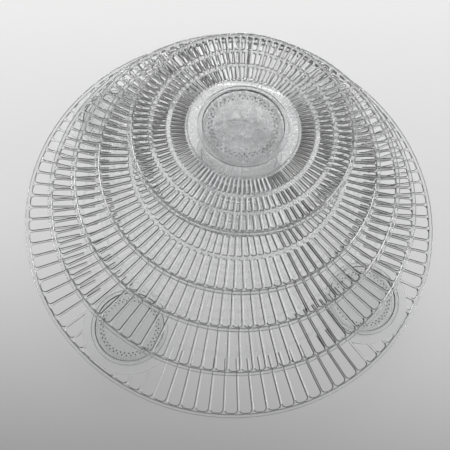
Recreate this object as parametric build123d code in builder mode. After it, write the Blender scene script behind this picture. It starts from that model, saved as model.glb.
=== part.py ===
from build123d import *
import os
from math import cos, pi, sin

# A free-standing tower of five round, clear, slotted drying trays.
# Units are millimetres. The origin is on the table, on the tower's axis, and +Z is up.
# The largest tray stands on four feet. Each smaller tray turns on a round leg of its own,
# and each leg stands in the shallow seat of the cap below it and lifts off it.

os.makedirs("parts", exist_ok=True)

# Trays, from the bottom of the tower to the top
tray_radii = [170.0, 144.0, 120.0, 100.0, 74.0]
tray_tops = [16.0, 51.0, 86.0, 106.0, 144.0]
plate_thickness = 2.0
rim_width = 2.6
rim_depth = 3.0
rim_round = 0.8
land_radius = 36.0
land_height = 0.8

# Rings of slots, and the ribs left between them
rib_count = 96
rib_width = 1.8
rim_margin = 3.4
ring_edges = [(37.6, 46.4), (49.6, 58.1), (61.0, 74.0), (77.0, 88.5), (91.5, 104.0), (107.0, 122.0)]
last_ring_start = [125.0, 107.0, 91.5, 77.0, 61.0]
slot_corner_share = 0.3

# Caps, legs and feet
rest_gap = 0.3
neck_radius = 25.4
running_clearance = 0.06
plug_radius = 24.65
plug_length = 4.0
plug_wall = 1.2
cap_radius = 29.4
cap_flange = 1.8
cap_skin = 1.6
seat_radius = 26.2
seat_depth = 1.2
bead_radius = 0.5
bead_rows = [20.3, 22.0]
beads_per_row = 40
leg_outer = 26.1
leg_inner = 24.7
leg_flange_radius = 29.4
leg_flange = 1.8
leg_floor = 1.6
foot_ring_inner = 23.2
foot_ring_depth = 1.2
pad_height = 1.2
pad_inner = 20.6
pad_outer = 25.6
pad_spigot = 1.0

# The four feet stand on a circle, turned so that one pair is towards the front left and right
foot_circle = 130.0
foot_phase = 60.5
foot_names = ["a", "b", "c", "d"]
foot_points = []
for index in range(4):
    angle = (foot_phase + 90.0 * index) * pi / 180.0
    foot_points.append((foot_circle * cos(angle), foot_circle * sin(angle)))


def save(solid, name):
    solid.label = name
    export_step(solid, "parts/" + name + ".step")
    print(name, round(solid.volume / 1000.0, 2), "cm3")


def slot_point(distance, side):
    # A point on the edge of a slot: the edge runs parallel to the rib beside it
    angle = side * pi / rib_count
    offset = side * rib_width / 2.0
    return (distance * cos(angle) + offset * sin(angle), distance * sin(angle) - offset * cos(angle))


def slot_face(inner, outer, rounded):
    # One slot between two ribs; the slots that end at the rim have rounded outer corners
    with BuildSketch() as slot:
        with BuildLine():
            Polyline(
                slot_point(inner, -1),
                slot_point(outer, -1),
                slot_point(outer, 1),
                slot_point(inner, 1),
                close=True,
            )
        make_face()
        if rounded:
            outer_width = 2.0 * slot_point(outer, 1)[1]
            outer_corners = slot.vertices().sort_by(Axis.X)[-2:]
            fillet(outer_corners, radius=slot_corner_share * outer_width)
    return slot.face()


def slot_wires(tray, lands):
    # Every slot of a tray, with those that reach an outlying land cut back to its edge
    rings = [ring for ring in ring_edges if ring[0] < last_ring_start[tray]]
    rings.append((last_ring_start[tray], tray_radii[tray] - rim_margin))
    wires = []
    for inner, outer in rings:
        slot = slot_face(inner, outer, outer == rings[-1][1])
        for index in range(rib_count):
            turned = slot.rotate(Axis.Z, index * 360.0 / rib_count)
            pieces = [turned]
            for land in lands:
                if turned.distance_to(land) < 0.01:
                    pieces = [face for face in (turned - land).faces() if face.area > 4.0]
            wires += [face.outer_wire() for face in pieces]
    return wires


def make_tray(tray, outlying):
    radius = tray_radii[tray]
    top = tray_tops[tray]
    bottom = top - plate_thickness
    seats = [(0.0, 0.0)] + outlying
    lands = [Face(Wire.make_circle(land_radius, Plane((x, y, 0.0)))) for x, y in outlying]
    bores = [Wire.make_circle(neck_radius + running_clearance, Plane((x, y, 0.0))) for x, y in seats]
    plate = Face(Wire.make_circle(radius - rim_width / 2.0), slot_wires(tray, lands) + bores)
    with BuildPart() as body:
        # Slotted plate
        with BuildSketch(Plane.XY.offset(bottom)):
            add(plate)
        extrude(amount=plate_thickness)
        # Rim band, flush with the plate on top and hanging below it
        with BuildSketch(Plane.XZ):
            with Locations((radius - rim_width / 2.0, top - rim_depth / 2.0)):
                RectangleRounded(rim_width, rim_depth, rim_round)
        revolve(axis=Axis.Z)
        # Raised lands that carry the caps
        with BuildSketch(Plane.XY.offset(top)):
            with Locations(*seats):
                Circle(land_radius)
                Circle(neck_radius + running_clearance, mode=Mode.SUBTRACT)
        extrude(amount=land_height)
    save(body.part, "tray_" + str(tray + 1))


def make_cap(name, x, y, top):
    # Flanged cap: its neck fills the tray's bore, its plug enters the leg below,
    # and its face has a round seat with two rows of grip beads
    under = top + land_height + rest_gap
    face = under + cap_flange
    floor = face - seat_depth
    shoulder = top - plate_thickness - rest_gap
    with BuildPart() as cap:
        with BuildSketch(Plane.XZ):
            with BuildLine():
                Polyline(
                    (0.0, floor),
                    (seat_radius, floor),
                    (seat_radius, face),
                    (cap_radius, face),
                    (cap_radius, under),
                    (neck_radius, under),
                    (neck_radius, shoulder),
                    (plug_radius, shoulder),
                    (plug_radius, shoulder - plug_length),
                    (plug_radius - plug_wall, shoulder - plug_length),
                    (plug_radius - plug_wall, floor - cap_skin),
                    (0.0, floor - cap_skin),
                    close=True,
                )
            make_face()
        revolve(axis=Axis.Z)
        # Grip beads, the second row staggered against the first
        for row, distance in enumerate(bead_rows):
            with BuildSketch(Plane.XY.offset(floor)):
                with PolarLocations(distance, beads_per_row, start_angle=row * 180.0 / beads_per_row):
                    Circle(bead_radius)
            extrude(amount=bead_radius * 0.8, taper=35)
    save(cap.part.moved(Location((x, y, 0.0))), name)


def make_leg(name, x, y, foot, top):
    # Round hollow leg, open on top, with a flange under the tray and a ring to stand on
    shoulder = top - plate_thickness - rest_gap
    with BuildPart() as leg:
        with BuildSketch(Plane.XZ):
            with BuildLine():
                Polyline(
                    (0.0, foot + foot_ring_depth),
                    (foot_ring_inner, foot + foot_ring_depth),
                    (foot_ring_inner, foot),
                    (leg_outer, foot),
                    (leg_outer, shoulder - leg_flange),
                    (leg_flange_radius, shoulder - leg_flange),
                    (leg_flange_radius, shoulder),
                    (leg_inner, shoulder),
                    (leg_inner, foot + foot_ring_depth + leg_floor),
                    (0.0, foot + foot_ring_depth + leg_floor),
                    close=True,
                )
            make_face()
        revolve(axis=Axis.Z)
        rounded = leg.edges().filter_by(GeomType.CIRCLE).group_by(SortBy.RADIUS)[-1]
        fillet(rounded, radius=0.6)
    save(leg.part.moved(Location((x, y, 0.0))), name)


def make_pad(name, x, y):
    # Soft ring under a foot, with a spigot inside the ring that the foot stands on
    with BuildPart() as pad:
        with BuildSketch():
            Circle(pad_outer)
            Circle(pad_inner, mode=Mode.SUBTRACT)
        extrude(amount=pad_height)
        with BuildSketch(Plane.XY.offset(pad_height)):
            Circle(foot_ring_inner - 0.1)
            Circle(pad_inner, mode=Mode.SUBTRACT)
        extrude(amount=pad_spigot)
        ground_edges = pad.edges().group_by(Axis.Z)[0]
        fillet(ground_edges, radius=0.4)
    save(pad.part.moved(Location((x, y, 0.0))), name)


# Trays: the largest has a seat for each foot as well as the one in its centre
make_tray(0, foot_points)
for tray in range(1, 5):
    make_tray(tray, [])

# A cap in the centre of every tray
for tray in range(5):
    make_cap("hub_cap_" + str(tray + 1), 0.0, 0.0, tray_tops[tray])

# A leg under the centre of every tray but the largest, standing in the cap below
seat_height = land_height + rest_gap + cap_flange - seat_depth
for tray in range(1, 5):
    foot = tray_tops[tray - 1] + seat_height + rest_gap
    make_leg("leg_" + str(tray + 1), 0.0, 0.0, foot, tray_tops[tray])

# Four feet under the largest tray: cap, leg and soft pad each
for letter, (x, y) in zip(foot_names, foot_points):
    make_cap("foot_cap_" + letter, x, y, tray_tops[0])
    make_leg("foot_leg_" + letter, x, y, pad_height, tray_tops[0])
    make_pad("foot_pad_" + letter, x, y)
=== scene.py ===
import math
import time

import bmesh
import bpy
from mathutils import Matrix, Vector


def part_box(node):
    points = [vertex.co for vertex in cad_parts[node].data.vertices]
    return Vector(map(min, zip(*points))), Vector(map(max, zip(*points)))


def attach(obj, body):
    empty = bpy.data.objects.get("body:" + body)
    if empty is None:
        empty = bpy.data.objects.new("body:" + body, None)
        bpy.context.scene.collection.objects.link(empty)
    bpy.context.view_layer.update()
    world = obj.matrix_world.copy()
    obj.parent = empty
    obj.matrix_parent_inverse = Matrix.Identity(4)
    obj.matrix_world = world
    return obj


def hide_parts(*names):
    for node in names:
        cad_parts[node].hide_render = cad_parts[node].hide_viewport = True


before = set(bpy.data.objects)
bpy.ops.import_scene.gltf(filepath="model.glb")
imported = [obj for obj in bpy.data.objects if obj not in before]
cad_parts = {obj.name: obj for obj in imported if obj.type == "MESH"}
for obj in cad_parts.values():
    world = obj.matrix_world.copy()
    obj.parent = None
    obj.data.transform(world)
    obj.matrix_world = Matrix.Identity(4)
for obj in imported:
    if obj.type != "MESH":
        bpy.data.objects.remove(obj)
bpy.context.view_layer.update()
scene = bpy.context.scene
started = time.time()
print("frame in")

# everything is in metres, z up, tower axis at the origin

tiny = 0.0001  # closer than any two features are
sharp = math.radians(50)  # faces that meet at more than this make an edge
flatOn = 0.97  # a face whose normal is this upright counts as flat

tray = {
    "ribs": 96,
    "ribWidth": 0.0018,
    "rings": [(0.0376, 0.0464), (0.0496, 0.0581), (0.061, 0.074),
              (0.077, 0.0885), (0.0915, 0.104), (0.107, 0.122)],
    "lastRing": {"tray_1": 0.125, "tray_2": 0.107, "tray_3": 0.0915, "tray_4": 0.077, "tray_5": 0.061},
    "coveredTo": {"tray_1": 0.138, "tray_2": 0.112, "tray_3": 0.094, "tray_4": 0.0595, "tray_5": 0.034},
    "rimMargin": 0.0034,
    "bore": 0.02546,
    "land": 0.036,
    "landRise": 0.0008,
    "landMargin": 0.0012,  # slot edges this near an outlying land stay sharp
    "thickness": 0.002,
    "rimDrop": 0.001,
    "rimRound": 0.0007,
    "edgeRound": 0.00048,
    "cornerShare": 0.3,  # slot corners, as a share of the slot's width: outermost ring
    "innerShare": 0.28,  # and the rings inside it
    "cornerReach": 0.0005,
    "rimSkin": 0.0008,  # depth of the rim's outer wall
    "rimBand": 0.002,  # no slot wall comes nearer to the rim than this
    "boreSkin": 0.0005,
    "arcFacing": 0.3,  # below this a wall runs round the tray, above it along a rib
    "paintedLightFacing": (0.6, -0.8),  # rib walls turned this way get a painted highlight (milky), the others painted shade (dark)
    "paintedLightFrom": 0.15,
}

feet = {
    "circle": 0.13,
    "turn": 60.5,  # degrees round from +x
    "letters": "abcd",
}

cap = {
    "radius": 0.0294,
    "flange": 0.0018,
    "seat": 0.0262,
    "seatDepth": 0.0012,
    "skin": 0.0016,
    "neck": 0.0254,
    "plug": 0.02465,
    "plugWall": 0.0012,
    "plugLength": 0.004,
    "edge": 0.00028,
    "margin": 0.0005,  # how far past an edge a face's middle has to be
    "seatWall": 0.001,
    "beadRows": [0.0203, 0.022],
    "beads": 40,
    "beadSize": 0.00058,
    "steps": 96,
}

leg = {
    "outer": 0.0261,
    "inner": 0.0247,
    "flangeRadius": 0.0294,
    "flange": 0.0018,
    "ringInner": 0.0232,
    "ringDepth": 0.0012,
    "floor": 0.0016,
    "edge": 0.00035,
    "steps": 96,
}

pad = {
    "outer": 0.0256,
    "inner": 0.0206,
    "height": 0.0012,
    "spigot": 0.0231,
    "spigotRise": 0.001,
    "edge": 0.00025,
    "steps": 72,
}

# slow drift of tint over a moulding, and fine handling haze
mould = {
    "detail": 3,
    "rough": 0.45,
    "fineScale": 260,
    "fineDetail": 4,
    "hazeFrom": (0.45, 0.8),
    "hazeTo": (0.6, 2.2),
    "relief": 0.0006,
}

# one entry per material; what "clear" leaves out is milky haze, and "alpha" fades the whole skin
look = {
    "clearTray": {"pale": (0.95, 0.952, 0.954), "deep": (0.92, 0.923, 0.925), "rough": 0.006,
                  "scale": 18, "bump": 0.12, "ior": 1.5, "clear": 0.965},
    "clearHub": {"pale": (0.95, 0.952, 0.954), "deep": (0.92, 0.923, 0.925), "rough": 0.006,
                 "scale": 40, "bump": 0.1, "ior": 1.5, "clear": 0.965},
    # painted shade: near-black walls stand in for the dark lines that bent light shows along slot and seat
    # edges
    "paintedShadeEdge": {"pale": (0.015, 0.015, 0.016), "deep": (0.004, 0.004, 0.004), "rough": 0.08,
                  "scale": 40, "bump": 0.1, "ior": 1.25},
    # painted shade: grey walls for the thin grey lines along rims, ring walls and cap edges
    "paintedShadeRim": {"pale": (0.32, 0.322, 0.325), "deep": (0.22, 0.222, 0.225), "rough": 0.16,
                 "scale": 40, "bump": 0.1, "ior": 1.25},
    # painted highlight: milky walls on the side turned towards the light
    "paintedHighlightEdge": {"pale": (0.97, 0.972, 0.975), "deep": (0.93, 0.932, 0.935), "rough": 0.006,
                "scale": 40, "bump": 0.1, "ior": 1.5, "clear": 0.62},
    "frostedFoot": {"pale": (0.95, 0.952, 0.954), "deep": (0.92, 0.923, 0.925), "rough": 0.06,
                    "scale": 220, "bump": 0.1, "ior": 1.3},
    "frostedSeat": {"pale": (0.95, 0.95, 0.955), "deep": (0.89, 0.89, 0.895), "rough": 0.22,
                    "scale": 220, "bump": 0.25, "ior": 1.3},
    # thin walls bend light far less than the solid plates do
    "clearLeg": {"pale": (0.985, 0.99, 0.988), "deep": (0.97, 0.978, 0.975), "rough": 0.012,
                 "scale": 30, "bump": 0.2, "ior": 1.2, "alpha": 0.6},
    # faces pressed against another clear piece all but vanish
    "clearJoin": {"pale": (0.985, 0.99, 0.988), "deep": (0.97, 0.978, 0.975), "rough": 0.012,
                  "scale": 30, "bump": 0.2, "ior": 1.2, "alpha": 0.14},
    "clearPad": {"pale": (0.96, 0.965, 0.963), "deep": (0.92, 0.93, 0.925), "rough": 0.1,
                 "scale": 60, "bump": 0.3, "ior": 1.2, "alpha": 0.6, "through": 0.97},
}

traySkins = {"flat": "clearTray", "dark": "paintedShadeEdge", "join": "clearJoin", "rim": "paintedShadeRim", "lit": "paintedHighlightEdge"}
capSkins = {"flat": "clearHub", "seat": "frostedFoot", "join": "clearJoin", "dark": "paintedShadeEdge",
            "rim": "paintedShadeRim"}
topCapSkins = {**capSkins, "seat": "frostedSeat"}  # only this one is seen face on

camera = {
    "lens": 48,
    "place": (0, -0.1992, 0.4781),
    "yaw": -1.02,
    "pitch": 68.62,
    "roll": 7.37,
    "clip": 0.01,
}

floor = {
    "radius": 3,
    "drop": 0.0002,
    "colour": (0.46, 0.462, 0.46),
    "mottle": 0.985,
    "mottleScale": 3,
    "rough": 0.85,
    "specular": 0.15,
    "front": (-0.34, -0.01),  # painted shade: darkens towards the front, from the second y to the first
    "frontShare": 0.38,
    "farPaintedShade": (0.05, 0.052, 0.05),
    "far": (0.3, 0.55),  # distances over which painted shade darkens it for light bent by the plastic
    "sweep": (0.38, 0.85),  # distances over which the camera sees it turn into the backdrop
}

light = {
    "room": (0.03, 0.03, 0.031),  # what the clear plastic sees round the table
    "backdrop": (0.62, 0.63, 0.63),  # what the camera sees past the floor
    "aim": (0, 0.1, 0),
    "softboxes": {
        "back": {"place": (-0.1, 1.25, 0.85), "size": (1.7, 0.6), "power": 40},
        "left": {"place": (-1.3, 0.1, 0.8), "size": (0.8, 0.6), "power": 18},
        "right": {"place": (1.3, 0.1, 0.8), "size": (0.8, 0.6), "power": 13},
    },
}


def radial(v):
    return math.hypot(v.x, v.y)


def rise(edge):
    return abs(edge.verts[0].co.z - edge.verts[1].co.z)


def newVerts(made):
    return [g for g in made["geom"] if isinstance(g, bmesh.types.BMVert)]


def rounded(bm, edges, size, steps, clamp=True):
    bmesh.ops.bevel(bm, geom=edges, offset=size, offset_type="OFFSET", segments=steps,
                    profile=0.5, affect="EDGES", material=-1, clamp_overlap=clamp)


def sharpEdges(bm):
    return [e for e in bm.edges if len(e.link_faces) == 2 and e.calc_face_angle(0) > sharp]


def makePiece(name, bm, skins, body, node):
    mesh = bpy.data.meshes.new(name)
    bm.normal_update()
    bm.to_mesh(mesh)
    bm.free()
    for face in mesh.polygons:
        face.use_smooth = True
    mesh.set_sharp_from_angle(angle=sharp)
    for skin in skins:
        mesh.materials.append(materials[skin])
    piece = bpy.data.objects.new(name, mesh)
    scene.collection.objects.link(piece)
    even = piece.modifiers.new("evenNormals", "WEIGHTED_NORMAL")  # keeps the big flats truly flat
    even.mode = "FACE_AREA"
    even.weight = 90
    even.keep_sharp = True
    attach(piece, body)
    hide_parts(node)
    return piece


# materials

def mouldGroup():
    group = bpy.data.node_groups.new("mouldedClear", "ShaderNodeTree")
    for name, way, kind in (("Scale", "INPUT", "Float"), ("Light", "INPUT", "Color"),
                            ("Dark", "INPUT", "Color"), ("Rough", "INPUT", "Float"),
                            ("Color", "OUTPUT", "Color"), ("Roughness", "OUTPUT", "Float"),
                            ("Height", "OUTPUT", "Float")):
        group.interface.new_socket(name=name, in_out=way, socket_type="NodeSocket" + kind)
    nodes, links = group.nodes, group.links
    inside = nodes.new("NodeGroupInput")
    outside = nodes.new("NodeGroupOutput")
    coords = nodes.new("ShaderNodeTexCoord")
    slow = nodes.new("ShaderNodeTexNoise")
    slow.inputs["Detail"].default_value = mould["detail"]
    slow.inputs["Roughness"].default_value = mould["rough"]
    links.new(coords.outputs["Object"], slow.inputs["Vector"])
    links.new(inside.outputs["Scale"], slow.inputs["Scale"])
    tint = nodes.new("ShaderNodeMix")
    tint.data_type = "RGBA"
    links.new(slow.outputs["Fac"], tint.inputs["Factor"])
    links.new(inside.outputs["Light"], tint.inputs["A"])
    links.new(inside.outputs["Dark"], tint.inputs["B"])
    links.new(tint.outputs["Result"], outside.inputs["Color"])
    fine = nodes.new("ShaderNodeTexNoise")
    fine.inputs["Scale"].default_value = mould["fineScale"]
    fine.inputs["Detail"].default_value = mould["fineDetail"]
    links.new(coords.outputs["Object"], fine.inputs["Vector"])
    haze = nodes.new("ShaderNodeMapRange")
    for socket, value in zip(("From Min", "From Max", "To Min", "To Max"), mould["hazeFrom"] + mould["hazeTo"]):
        haze.inputs[socket].default_value = value
    links.new(fine.outputs["Fac"], haze.inputs["Value"])
    times = nodes.new("ShaderNodeMath")
    times.operation = "MULTIPLY"
    links.new(haze.outputs["Result"], times.inputs[0])
    links.new(inside.outputs["Rough"], times.inputs[1])
    links.new(times.outputs["Value"], outside.inputs["Roughness"])
    links.new(slow.outputs["Fac"], outside.inputs["Height"])
    return group


def clearMaterial(name, group, pale, deep, rough, scale, bump, ior, clear=1, alpha=1, through=0.985):
    material = bpy.data.materials.new(name)
    material.use_nodes = True
    nodes, links = material.node_tree.nodes, material.node_tree.links
    nodes.clear()
    out = nodes.new("ShaderNodeOutputMaterial")
    shader = nodes.new("ShaderNodeBsdfPrincipled")
    shader.inputs["Metallic"].default_value = 0
    shader.inputs["Transmission Weight"].default_value = clear
    shader.inputs["IOR"].default_value = ior
    shader.inputs["Alpha"].default_value = alpha
    moulded = nodes.new("ShaderNodeGroup")
    moulded.node_tree = group
    moulded.inputs["Scale"].default_value = scale
    moulded.inputs["Light"].default_value = (*pale, 1)
    moulded.inputs["Dark"].default_value = (*deep, 1)
    moulded.inputs["Rough"].default_value = rough
    links.new(moulded.outputs["Color"], shader.inputs["Base Color"])
    links.new(moulded.outputs["Roughness"], shader.inputs["Roughness"])
    relief = nodes.new("ShaderNodeBump")
    relief.inputs["Strength"].default_value = bump
    relief.inputs["Distance"].default_value = mould["relief"]
    links.new(moulded.outputs["Height"], relief.inputs["Height"])
    links.new(relief.outputs["Normal"], shader.inputs["Normal"])
    # lamp light goes nearly straight through each skin, so the shadows stay pale
    path = nodes.new("ShaderNodeLightPath")
    straight = nodes.new("ShaderNodeBsdfTransparent")
    straight.inputs["Color"].default_value = (through, through, through, 1)
    mix = nodes.new("ShaderNodeMixShader")
    links.new(path.outputs["Is Shadow Ray"], mix.inputs["Fac"])
    links.new(shader.outputs["BSDF"], mix.inputs[1])
    links.new(straight.outputs["BSDF"], mix.inputs[2])
    links.new(mix.outputs["Shader"], out.inputs["Surface"])
    return material


moulding = mouldGroup()
materials = {name: clearMaterial(name, moulding, **values) for name, values in look.items()}
print("materials done")


# trays

def footPlaces():
    turns = [math.radians(feet["turn"] + 90 * i) for i in range(4)]
    return [Vector((feet["circle"] * math.cos(a), feet["circle"] * math.sin(a), 0)) for a in turns]


def slottedSheet(radii, rings, height):
    # one radial line spun round, then every cell inset into a slot
    bm = bmesh.new()
    line = [bm.verts.new((r, 0, height)) for r in radii]
    for a, b in zip(line, line[1:]):
        bm.edges.new((a, b))
    bmesh.ops.rotate(bm, verts=line, cent=(0, 0, 0), matrix=Matrix.Rotation(math.pi / tray["ribs"], 3, "Z"))
    bmesh.ops.spin(bm, geom=bm.verts[:] + bm.edges[:], cent=(0, 0, 0), axis=(0, 0, 1),
                   angle=2 * math.pi, steps=tray["ribs"], use_merge=True)
    bmesh.ops.remove_doubles(bm, verts=bm.verts[:], dist=1e-6)
    cells = [f for f in bm.faces if any(a < radial(f.calc_center_median()) < b for a, b in rings)]
    bmesh.ops.inset_individual(bm, faces=cells, thickness=tray["ribWidth"] / 2, use_even_offset=True)
    bmesh.ops.delete(bm, geom=cells, context="FACES_ONLY")
    return bm


def raiseFaces(bm, faces, height):
    # extrude, then drop the old faces left inside, or the clear plastic bends light at them
    made = bmesh.ops.extrude_face_region(bm, geom=faces)
    bmesh.ops.translate(bm, verts=newVerts(made), vec=(0, 0, height))
    bmesh.ops.delete(bm, geom=faces, context="FACES_ONLY")


def addDiscs(bm, radius, low, high, places):
    for place in places:
        bmesh.ops.create_cone(bm, cap_ends=True, segments=96, radius1=radius, radius2=radius, depth=high - low,
                              matrix=Matrix.Translation(place + Vector((0, 0, (low + high) / 2))))


def booleaned(bm, tool, operation):
    # bmesh in, bmesh out, through a boolean modifier on a throwaway object
    meshA, meshB = bpy.data.meshes.new("a"), bpy.data.meshes.new("b")
    bm.to_mesh(meshA)
    tool.to_mesh(meshB)
    bm.free()
    tool.free()
    a, b = bpy.data.objects.new("a", meshA), bpy.data.objects.new("b", meshB)
    scene.collection.objects.link(a)
    scene.collection.objects.link(b)
    cut = a.modifiers.new("cut", "BOOLEAN")
    cut.operation = operation
    cut.solver = "EXACT"
    cut.object = b
    view = bpy.context.evaluated_depsgraph_get()
    result = bmesh.new()
    result.from_mesh(a.evaluated_get(view).to_mesh())
    bpy.data.objects.remove(a)
    bpy.data.objects.remove(b)
    return result


def addSeats(bm, places, bottom, top):
    # raised lands and bores for the feet
    discs = bmesh.new()
    addDiscs(discs, tray["land"], bottom, top + tray["landRise"], places)
    bm = booleaned(bm, discs, "UNION")
    holes = bmesh.new()
    addDiscs(holes, tray["bore"], bottom - 0.001, top + 0.004, places)
    return booleaned(bm, holes, "DIFFERENCE")


def levelEdges(bm):
    return [e for e in sharpEdges(bm) if rise(e) < 1e-5]


def onRim(edge, radius):
    return min(radial(v.co) for v in edge.verts) > radius - tiny


def nearSeat(edge, seats):
    return any(radial(v.co - seat) < tray["land"] + tray["landMargin"] for v in edge.verts for seat in seats)


def trayMesh(name):
    low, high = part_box(name)
    radius = high.x
    top = high.z - tray["landRise"]
    bottom = top - tray["thickness"]
    half = tray["ribWidth"] / 2
    last = tray["lastRing"][name]
    outlying = footPlaces() if name == "tray_1" else []
    rings = [r for r in tray["rings"] if r[0] < last] + [(last, radius - tray["rimMargin"])]
    radii = [tray["bore"], tray["land"]]
    for inner, outer in rings:
        radii += [inner - half, outer + half]
    radii.append(radius)
    bm = slottedSheet(radii, rings, bottom)
    made = bmesh.ops.extrude_face_region(bm, geom=bm.faces[:])
    bmesh.ops.translate(bm, verts=newVerts(made), vec=(0, 0, tray["thickness"]))
    bmesh.ops.recalc_face_normals(bm, faces=bm.faces[:])
    land = [f for f in bm.faces if f.normal.z > 0.9 and radial(f.calc_center_median()) < tray["land"]]
    raiseFaces(bm, land, tray["landRise"])
    rim = [f for f in bm.faces if f.normal.z < -0.9 and radial(f.calc_center_median()) > radii[-2]]
    raiseFaces(bm, rim, -tray["rimDrop"])
    for inner, outer in rings:
        share = tray["cornerShare"] if inner == last else tray["innerShare"]
        for r, steps in ((outer, 4 if inner == last else 2), (inner, 2)):
            width = 2 * math.pi * r / tray["ribs"] - tray["ribWidth"]
            corners = [e for e in bm.edges if rise(e) > tray["thickness"] / 2
                       and abs(radial(e.verts[0].co) - r) < tray["cornerReach"]]
            rounded(bm, corners, share * width, steps)
    if outlying:
        bm = addSeats(bm, outlying, bottom, top)
    slots = [e for e in levelEdges(bm) if not onRim(e, radius) and not nearSeat(e, outlying)]
    rounded(bm, slots, tray["edgeRound"], 2, clamp=False)  # short corner edges would clamp it to nothing
    rounded(bm, [e for e in levelEdges(bm) if onRim(e, radius)], tray["rimRound"], 3)
    skinTray(bm, radius, tray["coveredTo"][name], [Vector((0, 0, 0))] + outlying)
    return bm


def skinTray(bm, radius, covered, seats):
    skin = {part: i for i, part in enumerate(traySkins)}
    bm.normal_update()
    for f in bm.faces:
        spot = f.calc_center_median()
        # painted light: the rim's outer wall and walls running round the tray are painted grey shade; rib walls
        # get a painted highlight or painted shade by the way they face
        if radial(spot) > radius - tray["rimSkin"] and abs(f.normal.z) < 0.8:
            f.material_index = skin["rim"]
        if abs(f.normal.z) > flatOn or radial(spot) > radius - tray["rimBand"]:
            continue
        level = max(f.normal.xy.length, 1e-6)
        across = abs(f.normal.x * spot.y - f.normal.y * spot.x) / radial(spot) / level
        lit = f.normal.x * tray["paintedLightFacing"][0] + f.normal.y * tray["paintedLightFacing"][1]
        if min(radial(spot - seat) for seat in seats) < tray["bore"] + tray["boreSkin"]:
            f.material_index = skin["join"]
        elif radial(spot) < covered:
            f.material_index = skin["join"]
        elif across < tray["arcFacing"]:
            f.material_index = skin["rim"]
        else:
            f.material_index = skin["lit"] if lit > tray["paintedLightFrom"] * level else skin["dark"]


for name in tray["lastRing"]:
    body = "base" if name == "tray_1" else "turning_" + name
    piece = makePiece(name + "_clear", trayMesh(name), traySkins.values(), body, name)
    print(name, len(piece.data.polygons), "faces", round(time.time() - started, 1), "s")


# turned pieces: caps, legs, pads

def turned(profile, steps, edge, at):
    bm = bmesh.new()
    line = [bm.verts.new((r, 0, z)) for r, z in profile]
    for a, b in zip(line, line[1:]):
        bm.edges.new((a, b))
    if profile[0][0] > 0:
        bm.edges.new((line[-1], line[0]))
    bmesh.ops.spin(bm, geom=bm.verts[:] + bm.edges[:], cent=(0, 0, 0), axis=(0, 0, 1),
                   angle=2 * math.pi, steps=steps, use_merge=True)
    bmesh.ops.remove_doubles(bm, verts=bm.verts[:], dist=1e-7)
    bmesh.ops.recalc_face_normals(bm, faces=bm.faces[:])
    rounded(bm, sharpEdges(bm), edge, 2)
    bmesh.ops.translate(bm, verts=bm.verts[:], vec=at)
    return bm


def capMesh(node, at):
    skin = {part: i for i, part in enumerate(capSkins)}
    low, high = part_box(node)
    face, end = high.z, low.z
    under = face - cap["flange"]
    base = face - cap["seatDepth"]
    shoulder = end + cap["plugLength"]
    hollow = cap["plug"] - cap["plugWall"]
    bm = turned([
        (0, base), (cap["seat"], base), (cap["seat"], face), (cap["radius"], face), (cap["radius"], under),
        (cap["neck"], under), (cap["neck"], shoulder), (cap["plug"], shoulder), (cap["plug"], end),
        (hollow, end), (hollow, base - cap["skin"]), (0, base - cap["skin"])], cap["steps"], cap["edge"], at)
    bm.normal_update()
    for f in bm.faces:
        spot = f.calc_center_median()
        r = radial(spot - Vector(at))
        if r < cap["seat"] - cap["margin"] and spot.z > base - cap["skin"] - tiny:
            f.material_index = skin["seat"]
        elif spot.z < under - cap["margin"]:
            f.material_index = skin["join"]
        # painted shade: the seat's wall is painted near black and the outer walls grey
        elif abs(f.normal.z) < flatOn:
            f.material_index = skin["dark"] if r < cap["seat"] + cap["seatWall"] else skin["rim"]
    for row, r in enumerate(cap["beadRows"]):
        for i in range(cap["beads"]):
            a = 2 * math.pi * (i + row / 2) / cap["beads"]
            spot = Vector((r * math.cos(a), r * math.sin(a), base)) + Vector(at)
            made = bmesh.ops.create_icosphere(bm, subdivisions=1, radius=cap["beadSize"],
                                              matrix=Matrix.Translation(spot))
            # painted shade: the beads are painted near black
            for f in {f for v in made["verts"] for f in v.link_faces}:
                f.material_index = skin["dark"]
    return bm


def legMesh(node, at):
    low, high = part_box(node)
    foot, top = low.z, high.z
    ring = foot + leg["ringDepth"]
    return turned([
        (0, ring), (leg["ringInner"], ring), (leg["ringInner"], foot), (leg["outer"], foot),
        (leg["outer"], top - leg["flange"]), (leg["flangeRadius"], top - leg["flange"]),
        (leg["flangeRadius"], top), (leg["inner"], top), (leg["inner"], ring + leg["floor"]),
        (0, ring + leg["floor"])], leg["steps"], leg["edge"], at)


def padMesh(at):
    top = pad["height"] + pad["spigotRise"]
    return turned([
        (pad["inner"], 0), (pad["outer"], 0), (pad["outer"], pad["height"]), (pad["spigot"], pad["height"]),
        (pad["spigot"], top), (pad["inner"], top)], pad["steps"], pad["edge"], at)


def addCap(node, at, body, skins):
    makePiece(node + "_clear", capMesh(node, at), skins.values(), body, node)


def addLeg(node, at, body):
    makePiece(node + "_clear", legMesh(node, at), ["clearLeg"], body, node)


for i in range(1, 6):
    body = "base" if i == 1 else "hub_" + str(i)
    addCap("hub_cap_" + str(i), (0, 0, 0), body, topCapSkins if i == 5 else capSkins)
    if i > 1:
        addLeg("leg_" + str(i), (0, 0, 0), body)
for letter, place in zip(feet["letters"], footPlaces()):
    addCap("foot_cap_" + letter, place, "base", capSkins)
    addLeg("foot_leg_" + letter, place, "base")
    node = "foot_pad_" + letter
    makePiece(node + "_soft", padMesh(place), ["clearPad"], "base", node)
print("caps, legs and pads done", round(time.time() - started, 1), "s")


# floor, light, camera

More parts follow.
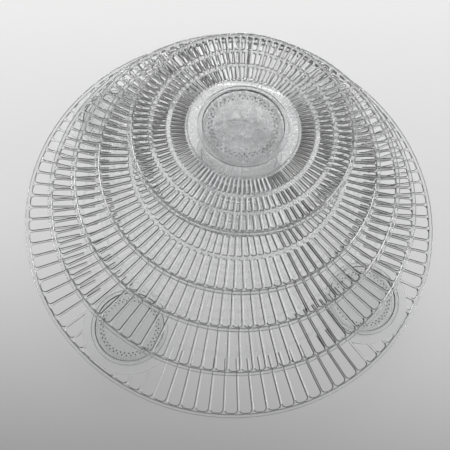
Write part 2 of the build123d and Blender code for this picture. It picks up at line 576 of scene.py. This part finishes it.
def smoothRange(nodes, links, value, span, start=0):
    node = nodes.new("ShaderNodeMapRange")
    node.interpolation_type = "SMOOTHSTEP"
    node.inputs["From Min"].default_value = span[0]
    node.inputs["From Max"].default_value = span[1]
    node.inputs["To Min"].default_value = start
    links.new(value, node.inputs["Value"])
    return node.outputs["Result"]


def product(nodes, links, a, b):
    node = nodes.new("ShaderNodeMath")
    node.operation = "MULTIPLY"
    links.new(a, node.inputs[0])
    links.new(b, node.inputs[1])
    return node.outputs["Value"]


def floorMaterial():
    material = bpy.data.materials.new("paleFloor")
    material.use_nodes = True
    nodes, links = material.node_tree.nodes, material.node_tree.links
    shader = nodes["Principled BSDF"]
    shader.inputs["Roughness"].default_value = floor["rough"]
    shader.inputs["Specular IOR Level"].default_value = floor["specular"]
    coords = nodes.new("ShaderNodeTexCoord")
    noise = nodes.new("ShaderNodeTexNoise")
    noise.inputs["Scale"].default_value = floor["mottleScale"]
    links.new(coords.outputs["Object"], noise.inputs["Vector"])
    paper = nodes.new("ShaderNodeMix")
    paper.data_type = "RGBA"
    paper.inputs["A"].default_value = (*floor["colour"], 1)
    paper.inputs["B"].default_value = (*[c * floor["mottle"] for c in floor["colour"]], 1)
    links.new(noise.outputs["Fac"], paper.inputs["Factor"])
    # painted shade: the floor colour darkens towards the front
    parts = nodes.new("ShaderNodeSeparateXYZ")
    links.new(coords.outputs["Object"], parts.inputs["Vector"])
    shade = nodes.new("ShaderNodeMix")
    shade.data_type = "RGBA"
    shade.blend_type = "MULTIPLY"
    shade.inputs["Factor"].default_value = 1
    links.new(paper.outputs["Result"], shade.inputs["A"])
    links.new(smoothRange(nodes, links, parts.outputs["Y"], floor["front"], floor["frontShare"]),
              shade.inputs["B"])
    length = nodes.new("ShaderNodeVectorMath")
    length.operation = "LENGTH"
    links.new(coords.outputs["Object"], length.inputs[0])
    path = nodes.new("ShaderNodeLightPath")
    bent = nodes.new("ShaderNodeMath")
    bent.operation = "SUBTRACT"
    bent.inputs[0].default_value = 1
    links.new(path.outputs["Is Camera Ray"], bent.inputs[1])
    # painted shade: only rays bent by the plastic see the far floor, painted dark as an unlit room
    distance = length.outputs["Value"]
    dark = product(nodes, links, smoothRange(nodes, links, distance, floor["far"]), bent.outputs["Value"])
    far = nodes.new("ShaderNodeMix")
    far.data_type = "RGBA"
    links.new(dark, far.inputs["Factor"])
    links.new(shade.outputs["Result"], far.inputs["A"])
    far.inputs["B"].default_value = (*floor["farPaintedShade"], 1)
    links.new(far.outputs["Result"], shader.inputs["Base Color"])
    # past the lamps' reach the camera sees the floor run evenly into the backdrop
    sweep = smoothRange(nodes, links, distance, floor["sweep"])
    glow = nodes.new("ShaderNodeEmission")
    glow.inputs["Color"].default_value = (*light["backdrop"], 1)
    blend = nodes.new("ShaderNodeMixShader")
    links.new(product(nodes, links, sweep, path.outputs["Is Camera Ray"]), blend.inputs["Fac"])
    links.new(shader.outputs["BSDF"], blend.inputs[1])
    links.new(glow.outputs["Emission"], blend.inputs[2])
    links.new(blend.outputs["Shader"], nodes["Material Output"].inputs["Surface"])
    return material


def addFloor():
    bm = bmesh.new()
    bmesh.ops.create_circle(bm, cap_ends=True, radius=floor["radius"], segments=96)
    mesh = bpy.data.meshes.new("floor")
    bm.to_mesh(mesh)
    bm.free()
    mesh.materials.append(floorMaterial())
    sheet = bpy.data.objects.new("floor", mesh)
    sheet.location.z = -floor["drop"]
    scene.collection.objects.link(sheet)


def addSoftbox(name, place, size, power):
    lamp = bpy.data.lights.new(name, "AREA")
    lamp.shape = "RECTANGLE"
    lamp.size, lamp.size_y = size
    lamp.energy = power
    box = bpy.data.objects.new(name, lamp)
    box.location = place
    box.rotation_mode = "QUATERNION"
    box.rotation_quaternion = (Vector(light["aim"]) - Vector(place)).to_track_quat("-Z", "Y")
    scene.collection.objects.link(box)


def addWorld():
    # a dark room gives clear plastic its edges; the camera itself sees a pale backdrop
    world = bpy.data.worlds.new("studio")
    world.use_nodes = True
    nodes, links = world.node_tree.nodes, world.node_tree.links
    path = nodes.new("ShaderNodeLightPath")
    pick = nodes.new("ShaderNodeMix")
    pick.data_type = "RGBA"
    pick.inputs["A"].default_value = (*light["room"], 1)
    pick.inputs["B"].default_value = (*light["backdrop"], 1)
    links.new(path.outputs["Is Camera Ray"], pick.inputs["Factor"])
    links.new(pick.outputs["Result"], nodes["Background"].inputs["Color"])
    scene.world = world


def addCamera():
    yaw, pitch, roll = (math.radians(camera[k]) for k in ("yaw", "pitch", "roll"))
    ahead = Vector((math.sin(yaw) * math.cos(pitch), math.cos(yaw) * math.cos(pitch), -math.sin(pitch)))
    level = Vector((math.cos(yaw), -math.sin(yaw), 0))
    up = level.cross(ahead)
    right = math.cos(roll) * level + math.sin(roll) * up
    up = math.cos(roll) * up - math.sin(roll) * level
    data = bpy.data.cameras.new("camera")
    data.lens = camera["lens"]
    data.clip_start = camera["clip"]
    eye = bpy.data.objects.new("camera", data)
    eye.matrix_world = Matrix.Translation(camera["place"]) @ Matrix((right, up, -ahead)).transposed().to_4x4()
    scene.collection.objects.link(eye)
    scene.camera = eye


addFloor()
for name, box in light["softboxes"].items():
    addSoftbox(name, **box)
addWorld()
addCamera()
scene.view_settings.view_transform = "Standard"
scene.cycles.max_bounces = 28
scene.cycles.transmission_bounces = 28
scene.cycles.glossy_bounces = 8
scene.cycles.transparent_max_bounces = 40
scene.cycles.sample_clamp_indirect = 3
scene.cycles.caustics_refractive = False
scene.cycles.caustics_reflective = False
print("light and camera done")
